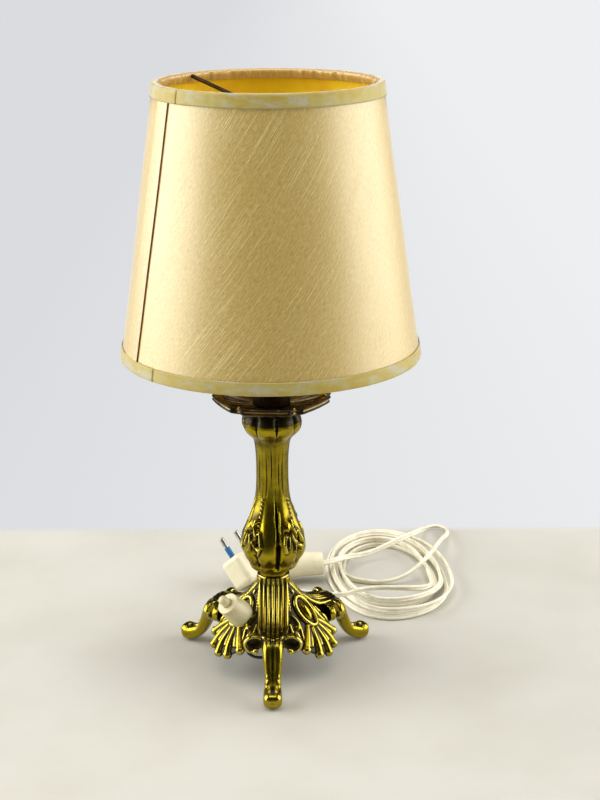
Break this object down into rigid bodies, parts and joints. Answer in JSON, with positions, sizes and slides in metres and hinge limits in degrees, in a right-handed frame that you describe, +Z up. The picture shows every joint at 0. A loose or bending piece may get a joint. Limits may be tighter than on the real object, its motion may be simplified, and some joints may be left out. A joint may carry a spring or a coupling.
{
  "type": "electric table lamp in candlestick form",
  "caption": "Electric table lamp: cast brass tripod candlestick with a push switch on its base, a candle sleeve and bulb, and a lined silk cone shade clipped to the bulb.",
  "frame": {"origin": "on the floor, on the axis of the column", "axes": "+Z up the column; -Y towards the viewer, along the front leg; +X to the viewer's right"},
  "size_m": [0.2593, 0.3672, 0.43],
  "materials": {
    "cast_brass": "polished casting with dark patina in the recesses",
    "brass_fitting": "turned brass",
    "steel": "plated steel",
    "spring_steel": "spring wire",
    "shade_wire": "dull plated wire",
    "bronze_sleeve": "dark bronzed candle tube",
    "nickel": "nickel plated brass",
    "holder_black": "black moulded lampholder",
    "porcelain": "unglazed insulator",
    "bulb_glass": "clear glass",
    "tungsten": "wire",
    "cream_plastic": "moulded cream plastic",
    "blue_sleeve": "blue insulating sleeve",
    "cream_flex": "cream flexible cord",
    "dark_lead": "dark insulated lead",
    "silk": "slubbed silk",
    "lining": "gold lining",
    "trim": "bias trim"
  },
  "bodies": {
    "stand": {"base_casting": "cast_brass", "column_casting": "cast_brass", "drip_pan": "cast_brass", "stem_tube": "steel", "base_washer": "steel", "stem_nuts": "brass_fitting", "candle_sleeve": "bronze_sleeve", "lampholder_body": "holder_black", "lampholder_insert": "porcelain", "terminal_screws": "brass_fitting", "lampholder_shell": "brass_fitting", "lampholder_contact": "brass_fitting", "switch_nut": "cream_plastic", "switch_case": "cream_plastic", "switch_posts": "brass_fitting", "switch_spring": "spring_steel", "cord_bush": "cream_plastic", "cord_lead": "cream_flex", "cord_coil": "cream_flex", "cord_tail": "cream_flex", "plug_body": "cream_plastic", "plug_pins": "nickel", "pin_sleeve": "blue_sleeve", "neutral_lead": "dark_lead", "switched_lead": "dark_lead", "live_lead": "dark_lead"},
    "button": {"switch_button": "cream_plastic", "switch_bridge": "brass_fitting"},
    "bulb_screw": {"bulb_tip": "brass_fitting"},
    "bulb": {"bulb_insulator": "porcelain", "bulb_cap": "brass_fitting", "bulb_glass": "bulb_glass", "bulb_mount": "bulb_glass", "bulb_filament": "tungsten"},
    "clip": {"clip_ring": "shade_wire"},
    "shade": {"bulb_clip": "spring_steel", "shade_top_frame": "shade_wire", "shade_bottom_ring": "shade_wire", "shade_silk": "silk", "shade_lining": "lining", "top_trim": "trim", "bottom_trim": "trim"}
  },
  "joints": [
    {"name": "switch_press", "type": "slide", "parent": "stand", "child": "button", "axis": [0.5792, 0.4056, -0.7071], "range_m": [0, 0.0035], "stiffness_N_per_m": 400, "deforming": ["switch_spring"]},
    {"name": "bulb_rise", "type": "slide", "parent": "stand", "child": "bulb_screw", "axis": [0, 0, 1], "range_m": [0, 0.0142]},
    {"name": "bulb_turn", "type": "hinge", "parent": "bulb_screw", "child": "bulb", "pos_m": [0, 0, 0.3], "axis": [0, 0, 1], "range_deg": [0, 1800]},
    {"name": "shade_lift", "type": "slide", "parent": "bulb", "child": "clip", "axis": [0, 0, 1], "range_m": [0, 0.175]},
    {"name": "shade_turn", "type": "hinge", "parent": "clip", "child": "shade", "pos_m": [0, 0, 0.414], "axis": [0, 0, 1], "continuous": true}
  ],
  "couplings": [
    {"joint": "bulb_rise", "follows": "bulb_turn", "m_per_rad": 0.00044914}
  ]
}
